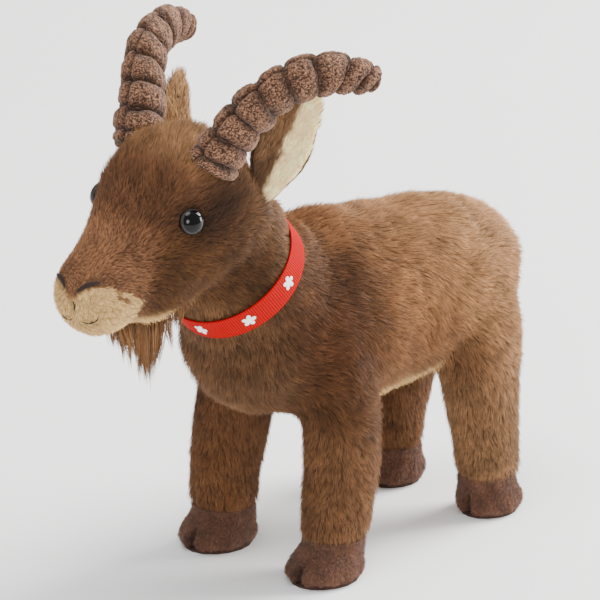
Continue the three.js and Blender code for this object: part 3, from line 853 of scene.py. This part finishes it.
# ---- ears ----
# Each ear's root, its tip and the way it faces.
EARS = {
    "left": np.array([(28.5, -104, 204), (38, -73, 264), (0.82, -0.5, 0.15)]),
    "right": np.array([(-31.5, -99, 206), (-42.5, -89.5, 256), (-0.97, -0.15, 0.1)]),
}
EAR_HALF_WIDTH, EAR_BASE, EAR_CUP, EAR_CLOTH = 13.0, 0.62, 3.5, 1.6
# The lining's cream is painted far lighter than the muzzle's cream: partly its own colour, partly painted
# light shining through the thin ear from behind.
EAR_CREAM_AND_BACKLIGHT = np.array([1.0, 0.76, 0.41])
EAR_TAN, EAR_EDGE = np.array([(0.40, 0.225, 0.10), (0.62, 0.40, 0.20)])


def ear_layer(side, part, offset, shrink, material):
    """One layer of an ear, a cupped leaf, and its pile: brown behind; in front brown along the
    front edge and cream along the rear one."""
    root, tip, facing = EARS[side]
    along = unit(tip - root)
    face = laid(facing, along)
    across = np.cross(along, face)
    length = size_of(tip - root)
    rear = 1 if across[1] > 0 else -1         # the sign of across towards the ear's rear edge
    lining = part == "ear_lining"
    rows, columns = 44, 56
    angle = np.linspace(0.001, pi - 0.001, rows)
    A, T = np.meshgrid(angle, circle(columns), indexing="ij")
    s, t = np.sin(A) * np.cos(T), np.sin(A) * np.sin(T)
    rise = (1 - np.cos(A)) / 2
    narrowing = EAR_BASE + (1 - EAR_BASE) * step(rise, 0, 0.45)
    w = s * (EAR_HALF_WIDTH - shrink) * (1.14 - 0.3 * rise) * narrowing
    w = w * np.where(w * rear < 0, 1 + 0.3 * np.exp(-((rise - 0.35) / 0.25) ** 2), 1)
    cup = EAR_CUP * (1 - (w / EAR_HALF_WIDTH) ** 2)
    points = (root + along * (shrink + rise * (length - 2 * shrink))[..., None] + across * w[..., None]
              + face * (t * EAR_CLOTH / 2 + offset - cup)[..., None]).reshape(-1, 3)
    points = points + 0.25 * ripple3(points, 7, 80)
    share = step(w.ravel() * rear, -3.5, 0.5)[:, None] if lining else 0
    # The brown cloth under the pile is painted darker than the pile's tips: painted shade between the hairs.
    tint = coat(points) * 0.4 * (1 - share) + EAR_CREAM_AND_BACKLIGHT * 0.85 * share
    mesh = new_mesh(f"{side}_{part}_cloth", points, [grid_faces(rows, columns)], tint)
    fix_normals(mesh)
    piece(f"{side}_{part}_cloth", mesh, f"{side}_ear", material, [f"{side}_{part}"])

    rng = np.random.default_rng(90 + (side == "left") + 2 * (part == "ear_back"))
    density, outer = (4.2, face) if lining else (3.4, -face)
    places, normals = Surface(mesh).scatter(density, rng, lambda p, n: (n @ outer > 0.1).astype(float))
    out = (places - root) @ across
    ways = laid(along + 0.25 * across * np.sign(out)[:, None] + 0.2 * ripple3(places, 8, 81), normals)
    if lining:
        share = step(out * rear + 0.7 * ripple(places, 5, 83), -2.5, 0.5)[:, None]
        colours = coat(places) * 0.75 * (1 - share) + EAR_CREAM_AND_BACKLIGHT * share
    else:
        share = step(np.abs(out), 8, 12)[:, None]
        colours = EAR_TAN * (1 - share) + EAR_EDGE * share
    colours = colours * (1 + 0.1 * ripple(places, 5, 82))[:, None]
    # The lining's pile keeps light roots: painted light shining through the ear.
    made = strands(places, normals, ways, 4.0, 0.28, 15, rng, colours, density,
                   clump=2.2, gather=0.35, dark=0.8 if lining else 0.55, light=1.2)
    hair_piece(f"{side}_{part}_pile", made, f"{side}_ear", CREAM if lining else FUR)


for side in SIDES:
    ear_layer(side, "ear_back", 0.0, 0.0, SKIN)
    ear_layer(side, "ear_lining", EAR_CLOTH + 0.3, 1.2, CREAM)


# ---- eyes ----
PUPIL, IRIS_RIM = np.array([(0.001, 0.001, 0.0012), (0.032, 0.027, 0.024)])


def eye(side):
    """A glossy black dome with a slightly paler rim."""
    centre, out = DOMES[side]
    a = unit(np.cross(out, Z))
    b = np.cross(out, a)
    rows, columns = 34, 64
    polar = np.linspace(0, pi / 2, rows)[1:]
    profile = [(sin(p) * EYE_RADIUS, cos(p) * EYE_HEIGHT) for p in polar]
    profile += [(EYE_RADIUS, -0.8), (EYE_RADIUS - 1, -1.6)]
    turn = circle(columns)
    ring = np.cos(turn)[:, None] * a + np.sin(turn)[:, None] * b
    crown = centre + out * EYE_HEIGHT
    points = np.vstack([centre + ring * r + out * h for r, h in profile] + [[crown]])
    share = np.array([r for r, h in profile])[:, None] / EYE_RADIUS
    rim = step(share, 0.84, 0.90)
    tint = (PUPIL * (1 - rim) + IRIS_RIM * rim) * (1 - 0.7 * step(share, 0.97, 1.0))
    tints = np.vstack([np.repeat(tint, columns, axis=0), tint[:1]])
    last = np.arange(columns)
    top = np.stack([last, np.roll(last, -1), np.full(columns, len(points) - 1)], axis=1)
    mesh = new_mesh(f"{side}_eye_dome", points, [grid_faces(len(profile), columns), top], tints)
    fix_normals(mesh)
    piece(f"{side}_eye_dome", mesh, "toy", EYE, [f"{side}_eye"])


for side in SIDES:
    eye(side)


# ---- hooves ----
HOOF_COLOUR = np.array([0.108, 0.048, 0.028])


def in_cleft(points, middle):
    """How much a place of a hoof lies in front, where its two toes part."""
    return step(middle[1] - points[:, 1], 5, 15) * (1 - step(points[:, 2], 8, 13))


def cleft_shade(points, middle):
    return 1 - 0.65 * (in_cleft(points, middle) * np.exp(-((points[:, 0] - middle[0]) / 3) ** 2))[:, None]


def booted(leg, points, middle):
    """Draws the top of a hoof in to its ankle, rounds its foot and opens the cleft between the toes."""
    side = 1 if "left" in leg else -1
    end = -1 if "front" in leg else 1
    x, y, z = body.points.T
    ankle = body.points[(z > ANKLE + 1) & (z < ANKLE + 5) & (x * side > 0) & (y * end > 0)][:, :2]
    low, high = ankle.min(axis=0), ankle.max(axis=0)
    centre, half = (high + low) / 2, (high - low) / 2
    z = points[:, 2]
    across = points[:, 0] - middle[0]
    opening = 2.2 * in_cleft(points, middle) * (1.3 - z / 13) * np.exp(-(across / 4.5) ** 2)
    shaped = points + X * (np.sign(across) * opening)[:, None]
    offset = shaped[:, :2] - centre
    reach = size_of(offset / half)
    drawn = np.where(reach > 1, 1 + (reach - 1) * (1 - step(z, 6, ANKLE - 1)), reach)
    shaped[:, :2] = centre + offset * (drawn / np.maximum(reach, 1e-6))[:, None]
    foot = 1 - 0.09 * (1 - np.clip(z / 6, 0, 1)) ** 2
    shaped[:, :2] = middle[:2] + (shaped[:, :2] - middle[:2]) * foot[:, None]
    return shaped


def hoof(leg, seed):
    """A hoof's plush and its short pile."""
    surface = Surface(softened([f"{leg}_hoof"], 0.9))
    middle = (surface.points.max(axis=0) + surface.points.min(axis=0)) / 2
    points = surface.points + surface.normals * (0.16 * ripple(surface.points, 2.4, 100 + seed))[:, None]
    surface = with_points(surface.mesh, booted(leg, points, middle))
    shade = (0.9 + 0.16 * ripple(points, 6, 101) + 0.14 * step(points[:, 2], 4, 20))[:, None]
    # The plush under the pile is painted darker than the pile's tips: painted shade between the hairs.
    set_tint(surface.mesh, HOOF_COLOUR * 0.7 * shade * cleft_shade(points, middle))
    piece(f"{leg}_hoof_plush", surface.mesh, "toy", HOOF, [f"{leg}_hoof"])
    rng = np.random.default_rng(110 + seed)
    places, normals = surface.scatter(4.5, rng, lambda p, n: (p[:, 2] > 1.5).astype(float))
    ways = laid([0, -0.2, -1.0] + 0.5 * ripple3(places, 5, 102), normals)
    colours = HOOF_COLOUR * 1.35 * (0.92 + 0.16 * ripple(places, 6, 101))[:, None]
    colours *= cleft_shade(places, middle)
    made = strands(places, normals, ways, 2.0, 0.26, 34, rng, colours, 4.5, clump=1.6,
                   gather=0.5, dark=0.42, light=1.3, rows=2)
    hair_piece(f"{leg}_hoof_pile", made, "toy", HOOF)


for seed, leg in enumerate(LEGS):
    hoof(leg, seed)


# ---- beard and tail ----
# Each tuft of the beard: where it starts along the jaw, and how far it hangs down.
BEARD_TUFTS = [(-172, 19), (-169, 14), (-166, 23), (-163, 31), (-159, 36), (-155, 37), (-151, 35), (-147, 30),
               (-143, 26), (-139, 23), (-135, 17)]
BEARD_MIDDLE = np.array([0, -155, 0])
BEARD_CORE, BEARD_ROOT = np.array([(0.05, 0.024, 0.012), (0.06, 0.026, 0.011)])
BEARD_HAIR, BEARD_TIP = np.array([(0.25, 0.12, 0.048), (0.16, 0.075, 0.03)])


def jaw_height(place):
    """How high the underside of the jaw is above a place."""
    return SKIN_TREE.ray_cast(Vector((place[0], place[1], 120)), Vector((0, 0, 1)))[0].z


def beard():
    """A small dark core and, all round it, tufts of long hair that hang from the jaw."""
    core = Surface(softened(["beard"], 1.2))
    shrunk = BEARD_MIDDLE + (core.points - BEARD_MIDDLE) * [0.45, 0.62, 1]
    shrunk[:, 2] = np.where(core.points[:, 2] < 152, 152 + (core.points[:, 2] - 152) * 0.3, core.points[:, 2])
    core = with_points(core.mesh, shrunk)
    set_tint(core.mesh, BEARD_CORE * (1 + 0.3 * ripple(shrunk, 3, 120)[:, None]))
    piece("beard_core", core.mesh, "beard", SKIN, ["beard"])

    rng = np.random.default_rng(121)
    steps = np.linspace(0, 1, 6)
    spines, halves, tints = ([[] for _ in steps] for _ in range(3))
    for y, length in BEARD_TUFTS:
        for x in (-5.0, 0.0, 5.0):
            root = np.array([x + rng.normal(0, 0.8), y + rng.normal(0, 1.0), 0])
            root[2] = jaw_height(root) + 1.5
            reach = length * rng.uniform(0.72, 1.0)
            tip = root + np.array([x * 0.25 + rng.normal(0, 1.2), reach * rng.normal(0.03, 0.09), -reach])
            hairs = int(30 + 1.6 * length)
            start = root + rng.normal(size=(hairs, 3)) * [1.7, 1.7, 0.8]
            end = tip + (start - root) * 0.12 + rng.normal(size=(hairs, 3)) * [0.3, 0.3, 0.11 * length]
            bow = rng.normal(size=(hairs, 3)) * 0.5 + (start - root) * 0.25
            bow += rng.normal(size=3) * [1.0, 1.4, 0]
            side = unit(rng.normal(size=(hairs, 3)) * [1, 1, 0.1]) * 0.2
            shade = rng.uniform(0.6, 1.3, (hairs, 1))
            for k, t in enumerate(steps):
                spines[k].append(start * (1 - t) + end * t + bow * sin(pi * t))
                halves[k].append(side * (1 - 0.6 * t))
                tints[k].append(shade * (BEARD_ROOT * max(0, 1 - 2.2 * t) + BEARD_HAIR * (1 - abs(2 * t - 1))
                                         + BEARD_TIP * max(0, 2 * t - 1)))
    made = ribbons(*([np.vstack(row) for row in rows] for rows in (spines, halves, tints)))
    hair_piece("beard_hair", made, "beard", FUR)


beard()


def tail():
    """A short flat tail with its pile hanging down."""
    core = Surface(softened(["tail"], 1.0))
    # The cloth under the pile is painted darker than the pile's tips: painted shade between the hairs.
    set_tint(core.mesh, coat(core.points) * BACKING_PAINTED_SHADE)
    piece("tail_cloth", core.mesh, "tail", SKIN, ["tail"])
    rng = np.random.default_rng(131)
    places, normals = core.scatter(2.6, rng)
    ways = laid([0, 0.1, -1.0] + 0.3 * ripple3(places, 6, 132), normals)
    made = strands(places, normals, ways, 4.5, 0.32, 24, rng, coat(places), 2.6, clump=2.2)
    hair_piece("tail_pile", made, "tail", FUR)


tail()


# ---- collar ----
# The ribbon's red on the ribs' crests, and the painted shade in the grooves between them.
RED_LIGHT, RED_GROOVE_SHADE = np.array([(0.46, 0.001, 0.001), (0.22, 0.001, 0.001)])
RIB_DEPTH = 0.13
AROUND = unit(np.cross(NECK_AXIS, X))


def ring_point(turn, along, radius):
    """A point of the collar at an angle from its left side towards its back, in mm."""
    way = np.cos(turn)[..., None] * X + np.sin(turn)[..., None] * AROUND
    return COLLAR_CENTRE + way * np.asarray(radius)[..., None] + np.asarray(along)[..., None] * NECK_AXIS


def collar():
    """A closed band, ribbed across on its outer side, with smooth edges."""
    ribs = 170
    columns = ribs * 7
    turn = circle(columns)
    across = np.linspace(-RIBBON_HALF, RIBBON_HALF, 15)
    loops = []
    for lift, depth, order in ((0.8, RIB_DEPTH, across), (0.05, 0, across[::-1])):
        for along in order:
            rib = depth * np.cos(turn * ribs) * (1 - step(abs(along), 6.0, 6.6))
            loops.append(ring_point(turn, along, RIBBON_RADIUS + lift - RIB_DEPTH + rib))
    points = np.concatenate(loops)
    # Painted shade: darker in the grooves between the ribs.
    ribs_tint = (0.5 + 0.5 * np.cos(turn * ribs))[:, None]
    tint = np.tile(RED_GROOVE_SHADE + (RED_LIGHT - RED_GROOVE_SHADE) * (0.1 + 0.9 * ribs_tint), (len(loops), 1))
    faces = grid_faces(len(loops) + 1, columns) % len(points)      # the last loop joins the first
    mesh = new_mesh("collar_band", points, [faces], tint)
    fix_normals(mesh)
    band = piece("collar_band", mesh, "collar", RIBBON, ["collar_ribbon"])


collar()

MOTIF_TURNS = [0.05 - 0.76 * k for k in range(7)]       # where each motif sits round the collar


def blossoms():
    """Small white flowers of five round petals printed on the ribbon, except where it is joined."""
    points, faces = [], []
    rings, spokes = 5, 60
    angle = circle(spokes)
    outline = 1.35 + 2.35 * np.abs(np.cos(2.5 * angle)) ** 0.75
    for number, middle in enumerate(MOTIF_TURNS):
        layers = []
        for lift in (0.97, 0.6):
            for share in np.linspace(0.02, 1, rings):
                a, b = np.cos(angle) * outline * share, np.sin(angle) * outline * share
                layers.append(ring_point(middle + a / RIBBON_RADIUS, b, RIBBON_RADIUS + lift))
        points += layers[:rings] + layers[rings:][::-1]
        faces.append(grid_faces(2 * rings, spokes) + number * 2 * rings * spokes)
    mesh = new_mesh("collar_blossoms", np.vstack(points), [np.vstack(faces)])
    fix_normals(mesh)
    piece("collar_blossoms", mesh, "collar", PRINT)


blossoms()


# ---- CAD nodes that stay ----
KEPT = {"left_eye_washer": WASHER, "right_eye_washer": WASHER, **{f"{leg}_sole": SOLE for leg in LEGS}}
for name, material in KEPT.items():
    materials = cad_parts[name].data.materials
    materials.clear()
    materials.append(material)

# ---- floor, light and camera ----
floor_mesh = bpy.data.meshes.new("floor")
floor_mesh.from_pydata([(-6, -6, 0), (6, -6, 0), (6, 6, 0), (-6, 6, 0)], [], [(0, 1, 2, 3)])
floor = add_object("floor", floor_mesh)
floor_mesh.materials.append(FLOOR)


def aimed(name, data, place, target):
    """Adds a light or camera at a place, looking at a target."""
    obj = add_object(name, data)
    obj.location = place
    obj.rotation_mode = "QUATERNION"
    obj.rotation_quaternion = (Vector(target) - Vector(place)).to_track_quat("-Z", "Y")
    return obj


def area_light(name, place, size, power, colour=(1, 1, 1)):
    light = bpy.data.lights.new(name, "AREA")
    light.shape, light.size, light.energy, light.color = "DISK", size, power, colour
    aimed(name, light, place, (0, 0.05, 0.13))


# Most of the light comes from behind and above, as in a studio with a bright background.
area_light("key", (0.55, 2.00, 1.60), 1.5, 155, (1, 0.985, 0.96))
area_light("rim", (1.3, 1.9, 0.5), 0.8, 36, (1, 0.99, 0.97))
area_light("top", (0.0, -0.4, 2.0), 1.2, 26)
area_light("window", (1.3, -1.5, 0.9), 0.9, 24)
world = bpy.data.worlds.new("studio")
world.use_nodes = True
set_inputs(world.node_tree.nodes["Background"], {"Color": (1, 1, 1, 1), "Strength": 0.75})
scene.world = world

azimuth, elevation, distance = radians(42.784), radians(19.476), 4.0
back = Vector((sin(azimuth) * cos(elevation), -cos(azimuth) * cos(elevation),
               sin(elevation)))
target = Vector((-0.03997, 0.0502, 0.11283))
camera = bpy.data.cameras.new("camera")
camera.lens, camera.sensor_width, camera.clip_end = 471.35, 36, 20
scene.camera = aimed("camera", camera, target + back * distance, target)
